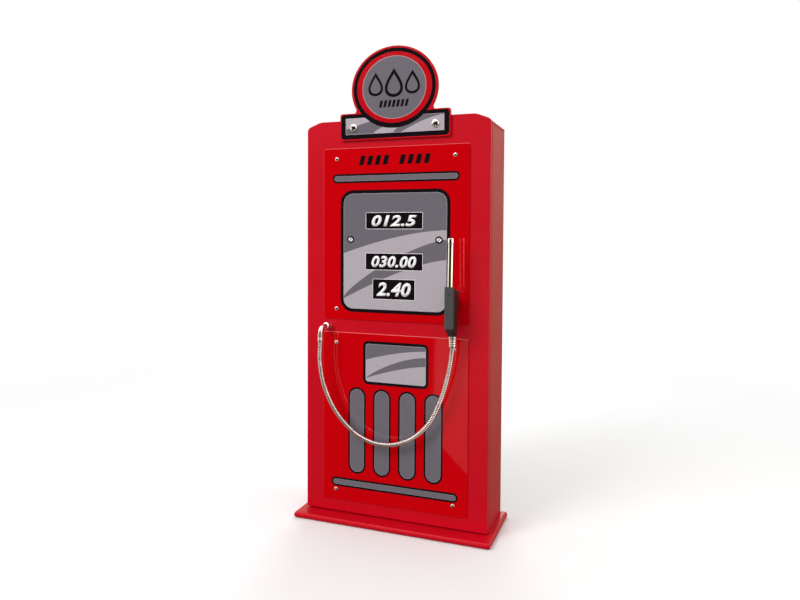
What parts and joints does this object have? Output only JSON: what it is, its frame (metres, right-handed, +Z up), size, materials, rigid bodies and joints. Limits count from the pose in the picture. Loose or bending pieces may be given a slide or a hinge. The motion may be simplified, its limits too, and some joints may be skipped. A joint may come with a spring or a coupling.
{
  "type": "gas pump cabinet",
  "caption": "Tall painted board cabinet styled as a fuel pump: hinged front with glossy panels, round sign, steel hose loop and lift-off nozzle.",
  "frame": {"origin": "centre of the base plate's underside, on the floor", "axes": "+Z up, front board faces -Y, +X to the right for someone who faces the front"},
  "size_m": [0.6434, 0.2805, 1.4845],
  "materials": {
    "red_paint": "satin red lacquer on fibreboard",
    "sign_paint": "satin bright red lacquer on fibreboard",
    "hardboard": "bare brown hardboard",
    "red_acrylic": "high gloss cast acrylic",
    "chrome": "bright chrome plate",
    "steel_hose": "interlocked steel strip, shiny",
    "zinc_steel": "zinc plated",
    "dark_plastic": "satin moulded dark grey",
    "black_plastic": "moulded black",
    "white_plastic": "moulded white",
    "magnet": "sintered ferrite",
    "print_grey": "printed grey vinyl",
    "print_light": "printed light grey vinyl",
    "print_black": "printed black vinyl",
    "print_white": "printed white vinyl",
    "print_red": "printed red vinyl"
  },
  "bodies": {
    "cabinet": {"base_plate": "red_paint", "left_side": "red_paint", "right_side": "red_paint", "top_board": "red_paint", "bottom_board": "red_paint", "lower_shelf": "red_paint", "middle_shelf": "red_paint", "upper_shelf": "red_paint", "back_panel": "hardboard", "shelf_pin_1": "zinc_steel", "shelf_pin_2": "zinc_steel", "shelf_pin_3": "zinc_steel", "shelf_pin_4": "zinc_steel", "shelf_pin_5": "zinc_steel", "shelf_pin_6": "zinc_steel", "shelf_pin_7": "zinc_steel", "shelf_pin_8": "zinc_steel", "frame_leaf_top": "zinc_steel", "frame_leaf_middle": "zinc_steel", "frame_leaf_bottom": "zinc_steel", "hinge_pin_top": "zinc_steel", "hinge_pin_middle": "zinc_steel", "hinge_pin_bottom": "zinc_steel", "catch_housing": "white_plastic", "catch_magnet": "magnet"},
    "door": {"front_board": "red_paint", "sign_board": "sign_paint", "upper_panel": "red_acrylic", "lower_panel": "red_acrylic", "panel_screw_1": "chrome", "panel_screw_2": "chrome", "panel_screw_3": "chrome", "panel_screw_4": "chrome", "panel_screw_5": "chrome", "panel_screw_6": "chrome", "panel_screw_7": "chrome", "panel_screw_8": "chrome", "sign_screw_left": "chrome", "sign_screw_right": "chrome", "outlet_dome": "chrome", "hose_elbow": "chrome", "hose_sleeve": "chrome", "hose": "steel_hose", "door_leaf_top": "zinc_steel", "door_leaf_middle": "zinc_steel", "door_leaf_bottom": "zinc_steel", "outlet_locknut": "zinc_steel", "holder_screw_upper": "zinc_steel", "holder_screw_lower": "zinc_steel", "strike_plate": "zinc_steel", "nozzle_holder": "black_plastic"},
    "nozzle": {"grip": "dark_plastic", "grip_collar": "dark_plastic", "hose_ferrule": "chrome", "spout": "chrome", "spout_tip": "chrome"}
  },
  "joints": [
    {"name": "door_hinge", "type": "hinge", "parent": "cabinet", "child": "door", "pos_m": [-0.304, -0.0531, 0.6445], "axis": [0, 0, -1], "range_deg": [0, 110]},
    {"name": "nozzle_lift", "type": "slide", "parent": "door", "child": "nozzle", "axis": [0, 0, 1], "range_m": [0, 0.0165]}
  ]
}
